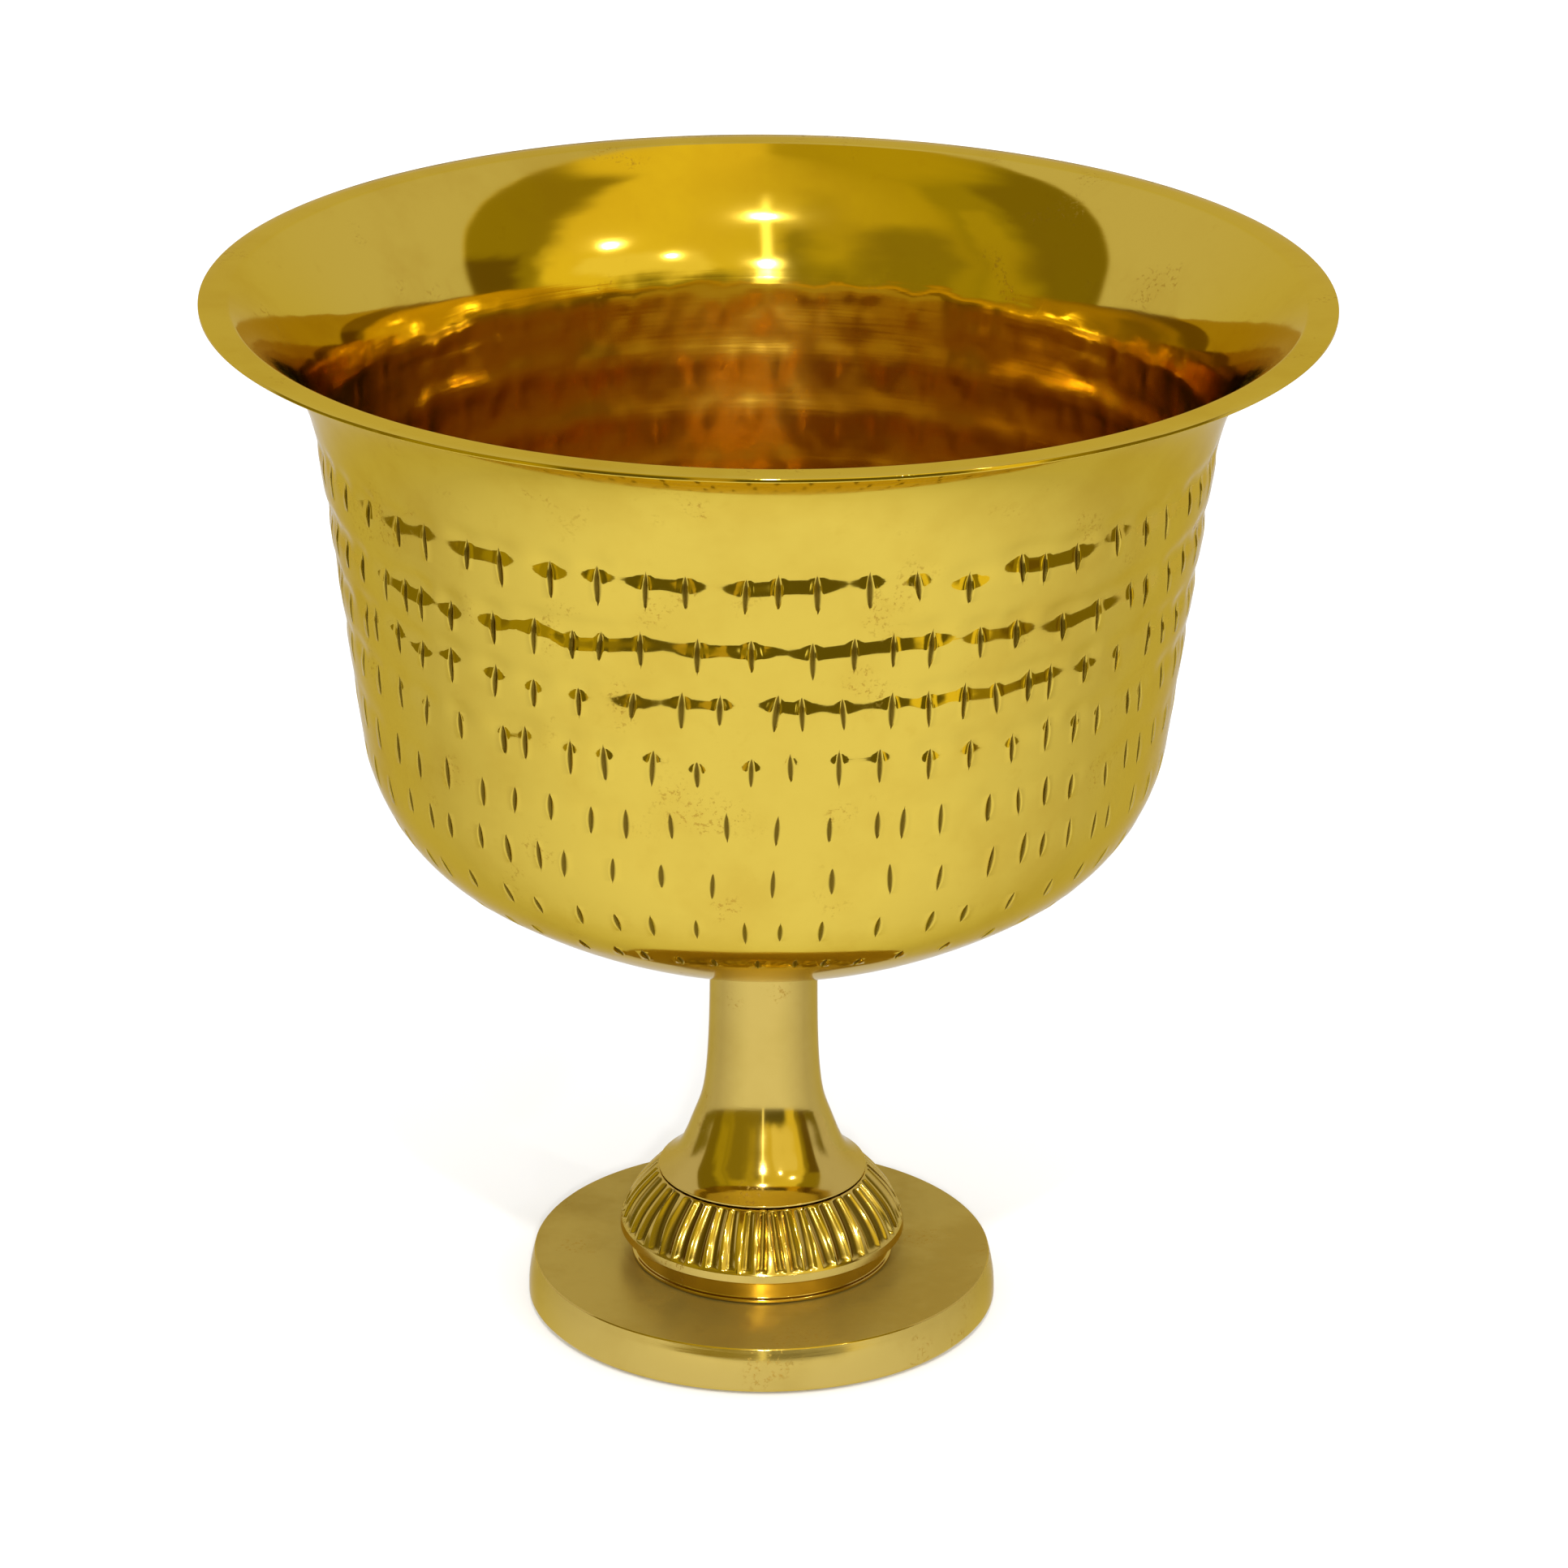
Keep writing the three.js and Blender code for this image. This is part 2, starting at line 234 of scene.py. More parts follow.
def brass(name, colour, dull, rough, line_depth, waves, lines=900.0, freckles=0.55, cut=False, metal=1.0):
    """Brass: turning lines, a slow waviness, tarnish clouds, freckles and, if cut, dirt and painted shade
    in the bowl's marks, painted shade in the flutes and deep inside the bowl.
    """
    n = Surface(name)
    clouds = n.noise(n.place, 34.0, 4.0, 0.6)
    blotch = n.noise(n.place, 150.0, 3.0, 0.65)
    line = n.noise(n.rings(lines), 1.0, 3.0, 0.6)
    spot_zone = n.step(n.noise(n.place, 60.0, 2.0, 0.5), 0.6, 0.7)
    spots = n.math("MULTIPLY", n.step(n.noise(n.place, 900.0, 3.0, 0.7), 0.54, 0.64), spot_zone)
    if cut:
        mark = n.add("ShaderNodeAttribute", attribute_name="cut").outputs["Fac"]
        inside = n.add("ShaderNodeAttribute", attribute_name="inside").outputs["Fac"]
        spots = n.math("MULTIPLY", spots, n.math("SUBTRACT", 1.0, inside))
    tint = n.mix(n.step(clouds, 0.42, 0.72, 0.0, 0.55), colour, dull)
    tint = n.mix(n.step(blotch, 0.6, 0.75, 0.0, 0.25), tint, dull)
    tint = n.mix(n.math("MULTIPLY", spots, freckles), tint, (0.40, 0.22, 0.025))
    gloss = n.math("ADD", n.step(clouds, 0.35, 0.7, rough, rough * 1.9), n.math("MULTIPLY", spots, 0.2))
    if cut:
        # deep inside the bowl the colour turns darker and redder: painted shade of the depth
        tint = n.mix(n.math("MULTIPLY", inside, 0.8), tint, (0.58, 0.335, 0.03))
        # cuts coloured darker: dirt in the bowl's marks, with painted shade on one half of each; painted
        # shade in the collar's grooves
        dirt_and_painted_shade = n.step(mark, 0.12, 0.75)
        tint = n.mix(dirt_and_painted_shade, tint, (0.16, 0.105, 0.012))
        gloss = n.math("ADD", gloss, n.math("MULTIPLY", dirt_and_painted_shade, 0.22))
        gloss = n.math("ADD", gloss, n.math("MULTIPLY", inside, 0.09))
    n.link(tint, n.shader.inputs["Base Color"])
    n.link(gloss, n.shader.inputs["Roughness"])
    n.shader.inputs["Metallic"].default_value = metal
    n.shader.inputs["Specular Tint"].default_value = (0.85, 0.74, 0.42, 1)
    normal = n.bump(n.noise(n.place, 55.0, 1.0, 0.4), waves)
    if cut:
        dapple = n.math("MULTIPLY", n.noise(n.place, 110.0, 1.0, 0.5), inside)
        normal = n.bump(dapple, 0.0003, normal)
        normal = n.bump(n.math("MULTIPLY", line, inside), 0.00002, normal)
    normal = n.bump(line, line_depth, normal)
    n.link(normal, n.shader.inputs["Normal"])
    return n.material


def plain(name, colour, other, rough, metallic, grain_scale, grain_depth):
    """Steel, rubber or felt: two tones in a grain, with the same grain as relief."""
    n = Surface(name)
    grain = n.noise(n.place, grain_scale, 4.0, 0.65)
    clouds = n.noise(n.place, grain_scale / 12, 2.0, 0.5)
    tint = n.mix(n.step(grain, 0.35, 0.65), colour, other)
    tint = n.mix(n.step(clouds, 0.45, 0.7, 0.0, 0.5), tint, other)
    n.link(tint, n.shader.inputs["Base Color"])
    n.link(n.step(grain, 0.3, 0.7, rough * 0.85, min(1.0, rough * 1.15)), n.shader.inputs["Roughness"])
    n.shader.inputs["Metallic"].default_value = metallic
    n.link(n.bump(grain, grain_depth), n.shader.inputs["Normal"])
    return n.material


SHEET_TONES = (0.695, 0.515, 0.078), (0.60, 0.41, 0.052)
TURNED_TONES = (0.61, 0.45, 0.115), (0.52, 0.37, 0.08)
SATIN_TONES = (0.42, 0.30, 0.058), (0.34, 0.23, 0.036)
bowl_brass = brass("bowl_brass", *SHEET_TONES, 0.055, 0.0000035, 0.00012, cut=True)
turned_brass = brass("turned_brass", *TURNED_TONES, 0.085, 0.000006, 0.00003)
fluted_brass = brass("fluted_brass", *TURNED_TONES, 0.085, 0.000004, 0.00002, cut=True)
satin_brass = brass(
    "satin_brass", *SATIN_TONES, 0.31, 0.00002, 0.00002, lines=1400.0, freckles=0.5, metal=0.75)
zinc_steel = plain("zinc_steel", (0.62, 0.62, 0.60), (0.50, 0.52, 0.55), 0.3, 1.0, 900.0, 0.00001)
rubber = plain("rubber", (0.035, 0.035, 0.038), (0.06, 0.06, 0.062), 0.75, 0.0, 2500.0, 0.00004)
felt = plain("felt", (0.035, 0.07, 0.045), (0.07, 0.115, 0.08), 0.95, 0.0, 3200.0, 0.0003)
felt.node_tree.nodes["Principled BSDF"].inputs["Sheen Weight"].default_value = 0.4


# ---------------------------------------------------------------- bowl

low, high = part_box("bowl")
SHEET = 1.0
LIP_TOP = high.z / MM
LIP_RADIUS = high.x / MM
SEAT = low.z / MM
HOLE = 3.3
SEAT_EDGE, SEAT_SLOPE = 19.0, 12.0
FLOOR_CURVE, FLOOR_SLOPE = 153.5, 34.0
KNUCKLE_CURVE, WALL_SLOPE = 44.5, 82.5
FLARE_CURVE, FLARE_SLOPE = 42.6, 32.7


class Trace:
    """A path in the r-z plane made of straight lines and arcs, sampled every quarter of a millimetre."""

    def __init__(self, r, z, heading):
        self.r, self.z, self.heading = r, z, heading
        self.rows = [(r, z, heading)]

    def line(self, length):
        count = max(2, round(length / 0.25))
        a = math.radians(self.heading)
        r0, z0 = self.r, self.z
        for k in range(1, count + 1):
            self.r = r0 + length * k / count * math.cos(a)
            self.z = z0 + length * k / count * math.sin(a)
            self.rows.append((self.r, self.z, self.heading))

    def bend(self, radius, heading):
        start, end = math.radians(self.heading), math.radians(heading)
        k = 1 if end > start else -1
        count = max(4, round(radius * abs(end - start) / 0.25))
        r0, z0 = self.r, self.z
        for i in range(1, count + 1):
            a = start + (end - start) * i / count
            self.r = r0 + k * radius * (math.sin(a) - math.sin(start))
            self.z = z0 + k * radius * (math.cos(start) - math.cos(a))
            self.rows.append((self.r, self.z, math.degrees(a)))
        self.heading = heading


trace = Trace(SEAT_EDGE, SEAT, SEAT_SLOPE)
trace.bend(FLOOR_CURVE, FLOOR_SLOPE)
trace.bend(KNUCKLE_CURVE, WALL_SLOPE)
drop = FLARE_CURVE * (math.cos(math.radians(FLARE_SLOPE)) - math.cos(math.radians(WALL_SLOPE)))
trace.line((LIP_TOP - SHEET - trace.z - drop) / math.sin(math.radians(WALL_SLOPE)))
trace.bend(FLARE_CURVE, FLARE_SLOPE)
path = np.array(trace.rows)
along = np.concatenate([[0], np.cumsum(np.hypot(*np.diff(path[:, :2], axis=0).T))])
LENGTH = along[-1]


def outside(t):
    """r, z and outward normal of the bowl's outer face at t mm from the edge of its seat."""
    r = np.interp(t, along, path[:, 0])
    z = np.interp(t, along, path[:, 1])
    a = np.radians(np.interp(t, along, path[:, 2]))
    return r, z, np.sin(a), -np.cos(a)


# Rows of chisel marks, from the lowest to the highest: their distance along the wall, the depth of the
# dent that the chisel's heel left above each mark, and the length of the marks, all in mm.
ROWS = (
    (64.4, 0.03, 5.8), (79.4, 0.04, 6.8), (94.0, 0.07, 7.4), (107.3, 0.26, 7.6),
    (121.8, 0.60, 7.7), (135.3, 0.82, 7.8), (149.0, 1.15, 8.0), (164.2, 0.76, 8.0),
)
DEEPEST = 0.9  # no dents go deeper, even where two meet
# A mark: its angle, middle, length, half width, lean and depth, then the depth and half width of its dent.
marks = []
for t_row, dent, length in ROWS:
    r_row = float(outside(t_row)[0])
    angle = rng.uniform(0, 0.1)
    first = angle
    row = []
    while angle < first + 2 * math.pi - 5.0 / r_row:
        row.append((
            angle,
            t_row + rng.normal(0, 0.55),
            length * rng.uniform(0.82, 1.12),
            rng.uniform(0.68, 0.94),
            rng.normal(0, 0.05),
            rng.uniform(0.26, 0.40),
            dent * rng.uniform(0.65, 1.25),
            rng.uniform(3.6, 6.0),
        ))
        gap = rng.uniform(7.6, 13.2) if rng.random() > 0.1 else rng.uniform(5.4, 7.0)
        angle += gap / r_row
    marks.append(np.array(row))


def wrap(angle):
    """The same angle between minus and plus half a turn."""
    return (angle + math.pi) % (2 * math.pi) - math.pi


def dent_and_cut(theta, t, rows, with_cut=True):
    """How far the outer face is pushed in, in mm, and how much of that is the sharp mark, which is coloured
    darker: dirt in it, and painted shade on one half.
    """
    push = np.zeros_like(theta)
    dents = np.zeros_like(theta)
    cut = np.zeros_like(theta)
    r = outside(t)[0]
    for k in rows:
        for a, t0, length, half, lean, depth, dent, spread in marks[k]:
            near = np.abs(wrap(theta - a)) * r < 16
            if not near.any():
                continue
            s = wrap(theta[near] - a) * r[near]
            v = t[near] - t0
            top = v - length / 2
            dents[near] += dent * np.exp(-(s / spread) ** 2 - (top / 2.7) ** 2)
            if with_cut:
                width = half * np.clip(1 - (2 * v / length) ** 2, 0.0, 1) ** 0.8 + 1e-3
                u = np.abs(s - lean * v) / width
                inside = np.clip(1 - u, 0, 1) * (np.abs(2 * v / length) < 1)
                size = depth * (width / half)
                push[near] += size * inside - 0.06 * np.exp(-((u - 1.25) / 0.35) ** 2) * (width / half)
                # one half of each mark gets less of the dark tone, so the other half carries a painted
                # shade of the V-shaped walls, over the dirt in the mark
                side = np.clip((s - lean * v) / width, 0, 1)
                cut[near] = np.maximum(cut[near], inside ** 0.5 * (1 - 0.45 * side) * (width / half > 0.02))
    return push + DEEPEST * np.tanh(dents / DEEPEST), cut


def hand_work(theta, t):
    """The slow unevenness of a wall that was struck by hand, in mm."""
    fade = np.clip((t - 20) / 40, 0, 1) * np.clip((LENGTH - t) / 30, 0, 1)
    wave = 0.035 * np.sin(3 * theta + 0.07 * t + 1.0) + 0.02 * np.sin(7 * theta - 0.11 * t)
    return wave * fade


def surface(place, theta, t, step=0.03):
    """Positions and normals of points of a face, from the function that places them."""
    r = outside(t)[0]
    east = place(theta + step / r, t) - place(theta - step / r, t)
    north = place(theta, t + step) - place(theta, t - step)
    no = np.cross(east, north)
    return place(theta, t), no / np.linalg.norm(no, axis=1)[:, None]


def outer_points(theta, t, rows, sharp):
    """Positions, normals and cut of points of the outer face."""

    def place(th, tt):
        push = dent_and_cut(th, tt, rows, sharp)[0] + hand_work(th, tt)
        r, z, nr, nz = outside(tt)
        r, z = r - nr * push, z - nz * push
        return np.stack([r * np.cos(th), r * np.sin(th), z], 1)

    co, no = surface(place, theta, t)
    return co, no, dent_and_cut(theta, t, rows, sharp)[1]


def inner_points(theta, t):
    """Positions and normals of points of the inner face, with what the marks push through."""

    def place(th, tt):
        push = 0.32 * dent_and_cut(th, tt, range(len(ROWS)), False)[0] + hand_work(th, tt)
        r_mark = outside(tt)[0]
        for row in marks:
            for a, t0, length, half, lean, depth, dent, spread in row:
                near = (np.abs(wrap(th - a)) * r_mark < 7) & (np.abs(tt - t0) < 8)
                s = wrap(th[near] - a) * r_mark[near]
                v = tt[near] - t0
                push[near] += 0.4 * depth * np.exp(-(s / 1.5) ** 2 - (v / (0.42 * length)) ** 2)
        r, z, nr, nz = outside(tt)
        r, z = r - nr * (SHEET + push), z - nz * (SHEET + push)
        return np.stack([r * np.cos(th), r * np.sin(th), z], 1)

    co, no = surface(place, theta, t, 0.05)
    return co, -no


class Shell:
    """Rings of points, each joined to the one before, whatever their numbers of points."""

    def __init__(self):
        self.co, self.no, self.cut, self.inside, self.faces = [], [], [], [], []
        self.count = 0
        self.first = self.last = None

    def add(self, theta, co, no, cut, inside=0.0, match=False):
        """Joins a ring to the last one: point to point if they match, and otherwise by their angles."""
        if not match:
            shift = int(np.argmin(theta % (2 * math.pi)))
            theta = np.roll(theta, -shift) % (2 * math.pi)
            co, no, cut = (np.roll(value, -shift, axis=0) for value in (co, no, cut))
        ring = (theta, np.arange(self.count, self.count + len(theta)))
        self.co.append(co)
        self.no.append(no)
        self.cut.append(cut)
        self.inside.append(np.full(len(theta), inside))
        self.count += len(theta)
        if self.last is None:
            self.first = ring
        else:
            self.join(self.last, ring, match)
        self.last = ring

    def close(self):
        self.join(self.last, self.first)

    def join(self, a, b, match=False):
        """Faces between two rings: squares if their points match, and otherwise triangles."""
        ta, ia = a
        tb, ib = b
        if match or (len(ta) == len(tb) and np.abs(wrap(ta - tb)).max() < 0.001):
            rows = np.stack([ia, np.roll(ia, -1), np.roll(ib, -1), ib], 1)
            self.faces.extend(map(tuple, rows.tolist()))
            return
        ta, tb = np.append(ta, ta[0] + 2 * math.pi), np.append(tb, tb[0] + 2 * math.pi)
        ia, ib = np.append(ia, ia[0]).tolist(), np.append(ib, ib[0]).tolist()
        i = j = 0
        while i < len(ta) - 1 or j < len(tb) - 1:
            if j == len(tb) - 1 or (i < len(ta) - 1 and ta[i + 1] <= tb[j + 1]):
                self.faces.append((ia[i], ia[i + 1], ib[j]))
                i += 1
            else:
                self.faces.append((ia[i], ib[j + 1], ib[j]))
                j += 1


# Columns of points across a mark, in half widths from its middle, and in the space up to the next mark.
SPREAD = np.array([-1.6, -1.2, -0.92, -0.5, -0.08, 0.08, 0.5, 0.92, 1.2, 1.6])
BETWEEN = (0.14, 0.38, 0.62, 0.86)


def mark_columns(k, t):
    """Angles of the columns of points of a row of marks, at t mm along the wall."""
    row = marks[k]
    r = float(outside(ROWS[k][0])[0])
    columns = []
    count = len(row)
    for i in range(count):
        a, t0, length, half, lean = row[i][:5]
        v = t - t0
        width = half * max(0.22, max(0.0, 1 - (2 * v / length) ** 2) ** 0.8)
        centre = a + lean * np.clip(v, -length / 2, length / 2) / r
        columns.extend(centre + SPREAD * width / r)
        following = row[(i + 1) % count][0] + (2 * math.pi if i == count - 1 else 0)
        space = following - a
        edge = SPREAD[-1] * half / r
        for share in BETWEEN:
            columns.append(a + edge + (space - 2 * edge) * share)
    return np.array(columns)


shell = Shell()
EVEN = np.arange(288) * 2 * math.pi / 288


def lathe_ring(r, z, nr, nz, inside=0.0):
    """A plain round ring of the bowl."""
    co = np.stack([r * np.cos(EVEN), r * np.sin(EVEN), z + 0 * EVEN], 1)
    no = np.stack([nr * np.cos(EVEN), nr * np.sin(EVEN), nz + 0 * EVEN], 1)
    shell.add(EVEN, co, no, np.zeros(len(EVEN)), inside)


def lathe_rings(points):
    """Plain round rings through the points of an outline."""
    for r, z, nr, nz in points:
        lathe_ring(r, z, nr, nz)


# Outer face, from the hole in the seat up to the lip.
lathe_ring(HOLE, SEAT, 0, -1)
lathe_ring(SEAT_EDGE - 0.4, SEAT, 0, -1)
lathe_ring(SEAT_EDGE + 0.4, SEAT + 0.04, 0.14, -0.99)
for t in np.linspace(3, 58, 20):
    r, z, nr, nz = outside(t)
    lathe_ring(float(r), float(z), float(nr), float(nz))
# The marks of a row lie in a band of fine rings, this far above and below its middle.
# Between the bands the rings are even, and show only the dents.
HALF_BAND = 5.2
FADE_OUT = 5.0  # of the top row's dents, above its band
for k in range(len(ROWS)):
    t0 = ROWS[k][0]
    rows = [m for m in (k - 1, k, k + 1) if 0 <= m < len(ROWS)]
    heights = np.linspace(t0 - HALF_BAND, t0 + HALF_BAND, 17)
    columns = [mark_columns(k, t) for t in heights]
    count = len(columns[0])
    co, no, cut = outer_points(np.concatenate(columns), np.repeat(heights, count), rows, True)
    # every ring of a band starts at the same column, the one nearest to angle 0
    shift = int(np.argmin(columns[0] % (2 * math.pi)))
    for i in range(len(heights)):
        part = slice(i * count, (i + 1) * count)
        ring = [np.roll(value, -shift, axis=0) for value in (columns[i], co[part], no[part], cut[part])]
        ring[0] = np.unwrap(ring[0] % (2 * math.pi))
        shell.add(*ring, match=i > 0)
    if k + 1 < len(ROWS):
        top, bottom = t0 + HALF_BAND, ROWS[k + 1][0] - HALF_BAND
        even_rings = np.linspace(top, bottom, 2 + max(1, round((bottom - top) / 1.3)))[1:-1]
    else:
        even_rings = np.linspace(t0 + HALF_BAND, t0 + HALF_BAND + FADE_OUT, 5)[1:]
    tiled = np.tile(EVEN, len(even_rings))
    co, no, cut = outer_points(tiled, np.repeat(even_rings, len(EVEN)), rows, False)
    for i in range(len(even_rings)):
        part = slice(i * len(EVEN), (i + 1) * len(EVEN))
        shell.add(EVEN, co[part], no[part], cut[part])
start = ROWS[-1][0] + HALF_BAND + FADE_OUT
for t in np.linspace(start, LENGTH - 0.4, 24)[1:]:
    r, z, nr, nz = outside(t)
    lathe_ring(float(r), float(z), float(nr), float(nz))

# The level lip, with its worn edge.
UNDER_EDGE, TOP_EDGE = 0.3, 0.22
corner = float(outside(LENGTH)[0])
under = LIP_TOP - SHEET
lathe_ring(corner + 0.5, under, 0.02, -1.0)
lathe_rings(arc_points((LIP_RADIUS - UNDER_EDGE, under + UNDER_EDGE), UNDER_EDGE, -90, 0, 4))
lathe_rings(arc_points((LIP_RADIUS - TOP_EDGE, LIP_TOP - TOP_EDGE), TOP_EDGE, 0, 76, 4))
inner_corner = corner - SHEET * math.tan(math.radians(FLARE_SLOPE) / 2)
lathe_ring(LIP_RADIUS - 2.6, LIP_TOP, 0.03, 0.9995)
lathe_ring(inner_corner + 0.8, LIP_TOP, 0, 1)
lathe_ring(inner_corner + 0.3, LIP_TOP - 0.02, -0.1, 0.995)


# Inner face, down to the hole.
def shade(t):
    """0 on the bright flare, 1 in the depth of the bowl: it paints shade into the colour there, and makes
    the face rougher, as it is never polished again.
    """
    return float(np.clip((172 - t) / 10, 0, 1))


def smooth_inner(t):
    """A round ring of the inner face, where no marks push through."""
    r, z, nr, nz = (float(value) for value in outside(t))
    lathe_ring(r - nr * SHEET, z - nz * SHEET, -nr, -nz, shade(t))


for t in np.linspace(LENGTH - 0.3, 176, 26):
    smooth_inner(t)
heights = np.arange(174.5, 58.0, -1.5)
co, no = inner_points(np.tile(EVEN, len(heights)), np.repeat(heights, len(EVEN)))
for i in range(len(heights)):
    part = slice(i * len(EVEN), (i + 1) * len(EVEN))
    shell.add(EVEN, co[part], no[part], np.zeros(len(EVEN)), shade(heights[i]))
for t in np.linspace(56, 3, 18):
    smooth_inner(t)
lathe_ring(SEAT_EDGE - 0.4, SEAT + SHEET, 0, 1, 1.0)
lathe_ring(HOLE, SEAT + SHEET, 0, 1, 1.0)
shell.close()

co = np.concatenate(shell.co)
no = np.concatenate(shell.no)
# cut holds the marks' dark tone, dirt with painted shade on one half; inside holds the painted shade deep
# in the bowl
layers = {"cut": np.concatenate(shell.cut), "inside": np.concatenate(shell.inside)}
body("bowl_skin", co, shell.faces, no, bowl_brass, "bowl", "polished_brass", layers)


# ---------------------------------------------------------------- stem

low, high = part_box("stem")
FOOT, TOP = low.z / MM, high.z / MM
WAIST, BELL, REACH, HEAD, COVE, BORE = 12.5, high.x / MM, 9.4, 16.5, 4.2, 9.0


def stem_radius(z):
    """An exponential horn, made straighter through its bell."""
    u = z - FOOT
    wider = 0.6 * math.exp(-((u - 12) / 5) ** 2)
    slimmer = 0.5 * math.exp(-((u - 3.5) / 3) ** 2) * min(1, u / 1.5)
    return WAIST + (BELL - WAIST) * math.exp(-u / REACH) + (wider - slimmer)


STEM_STEPS = 60
profile = []
for k in range(STEM_STEPS + 1):
    z = FOOT + 0.5 + (TOP - COVE - FOOT - 0.5) * (k / STEM_STEPS) ** 1.5
    profile.append((stem_radius(z), z))
neck = stem_radius(TOP - COVE)
for k in range(1, 9):
    a = math.pi / 2 * k / 9
    profile.append((neck + (HEAD - neck) * (1 - math.cos(a)), TOP - COVE + (COVE - 1) * math.sin(a)))
corners = [(BORE, FOOT, 0.3), (BELL - 0.7, FOOT, 0.25)]
corners += [(r, z, 0.3) for r, z in profile]
corners += [(HEAD, TOP - 0.9, 0.3), (HEAD, TOP, 0.3), (BORE, TOP, 0.3)]
body("stem_skin", *lathe(rounded(corners), 144), turned_brass, "stem", "polished_brass")


# ---------------------------------------------------------------- fluted collar

low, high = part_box("fluted_collar")
BOTTOM, TOP, RIM = low.z / MM, high.z / MM, high.x / MM
SHOULDER, HEAD, COLLAR_BORE, BULGE = BOTTOM + 2.2, 24.8, 11.0, 1.2
FLUTES = 50
widths = rng.uniform(0.7, 1.3, FLUTES)
edges = np.concatenate([[0], np.cumsum(widths)]) * 2 * math.pi / widths.sum()
depths = rng.uniform(0.7, 1.15, FLUTES)
shares = rng.uniform(0.6, 0.9, FLUTES)
leans = rng.normal(0, 0.022, FLUTES)
skews = rng.uniform(-0.5, 0.5, FLUTES)
PER_FLUTE, FLUTE_STEPS = 14, 24


def collar_outline():
    """The collar without its flutes."""
    points = [(COLLAR_BORE, BOTTOM, 0, -1)]
    points += arc_points((RIM - 0.35, BOTTOM + 0.35), 0.35, -90, 7, 3)
    points += [(RIM - 0.22, SHOULDER - 0.15, 0.99, 0.12), (RIM - 0.26, SHOULDER, 0.9, 0.43)]
    for k in range(FLUTE_STEPS + 1):
        t = k / FLUTE_STEPS
        r = RIM - 0.3 + (HEAD - RIM + 0.3) * t + BULGE * math.sin(math.pi * t)
        z = SHOULDER + 0.3 + (TOP - 0.25 - SHOULDER - 0.3) * t
        dr = HEAD - RIM + BULGE * math.pi * math.cos(math.pi * t)
        dz = TOP - 0.25 - SHOULDER - 0.3
        size = math.hypot(dr, dz)
        points.append((r, z, dz / size, -dr / size))
    points += [(HEAD - 0.4, TOP, 0.1, 0.995), (COLLAR_BORE, TOP, 0, 1)]
    return points


outline = collar_outline()
shape = np.array(outline)
_, faces, _ = lathe(outline, FLUTES * PER_FLUTE)
# 0 to 1 along the flutes, -1 below them and 2 above
below = [-1] * (len(outline) - FLUTE_STEPS - 3)
row_t = np.array([*below, *np.linspace(0, 1, FLUTE_STEPS + 1), 2, 2])[:, None]
across = (np.arange(PER_FLUTE) + 0.5) / PER_FLUTE
offset = (2 * across - 1) / shares[:, None]
skew = skews[:, None]
hollow = (np.clip(1 - np.abs(offset) ** (2 + skew), 0, None) * (1 + 0.35 * skew * offset)).reshape(1, -1)
angles = (edges[:-1, None] + np.diff(edges)[:, None] * across).reshape(1, -1)
fluted = (row_t >= 0) & (row_t <= 1)
fade = np.minimum(1, row_t / 0.05) * np.minimum(1, (1 - row_t) / 0.03 + 0.35)
groove = np.where(fluted, hollow * fade, 0)
theta = angles + np.where(fluted, np.repeat(leans, PER_FLUTE) * (row_t - 0.5), 0)
cosine, sine = np.cos(theta), np.sin(theta)
r, z, nr, nz = (shape[:, k][:, None] for k in range(4))
radius = r - np.repeat(depths, PER_FLUTE) * groove
grid = np.stack([radius * cosine, radius * sine, z + 0 * theta], 2)
found = np.cross(np.roll(grid, -1, 1) - np.roll(grid, 1, 1), np.roll(grid, -1, 0) - np.roll(grid, 1, 0))
found /= np.linalg.norm(found, axis=2)[:, :, None]
turned = np.stack([nr * cosine, nr * sine, nz + 0 * theta], 2)
normals = np.where(((row_t > 0) & (row_t < 1))[:, :, None], found, turned)
# the grooves of the flutes are coloured darker: painted shade in them
body("collar_skin", grid.reshape(-1, 3), faces, normals.reshape(-1, 3), fluted_brass,
     "fluted_collar", "polished_brass", {"cut": 0.8 * groove.reshape(-1) ** 2})


# ---------------------------------------------------------------- plinth ring and base

low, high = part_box("plinth_ring")
bottom, top, foot = low.z / MM, high.z / MM, high.x / MM
PLINTH_BORE = 9.0
corners = [
    (PLINTH_BORE, bottom, 0.2), (foot, bottom, 0.2), (foot, bottom + 0.7, 0.3),
    (foot - 0.7, bottom + 1.0, 0.3), (foot - 0.7, top, 0.25), (PLINTH_BORE, top, 0.2),
]
body("plinth_skin", *lathe(rounded(corners), 144), turned_brass, "plinth_ring", "polished_brass")

low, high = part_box("base_disc")
lift, top, side = low.z / MM, high.z / MM, high.x / MM
FELT_INNER, FELT_OUTER, GAP = 41.5, 52.0, 0.3
HOLLOW, WEB, SLOT = 38.0, 8.0, lift + 1.5
corners = [
    (HOLE, WEB, 0.2), (HOLLOW - 2, WEB, 1.0), (HOLLOW, WEB - 2, 1.0), (HOLLOW, lift, 0.3),
    (FELT_INNER - GAP, lift, 0.2), (FELT_INNER - GAP, SLOT, 0.2),
    (FELT_OUTER + GAP, SLOT, 0.2), (FELT_OUTER + GAP, lift, 0.2),
    (side - 0.7, lift, 0.5), (side, lift + 0.9, 0.5),
]
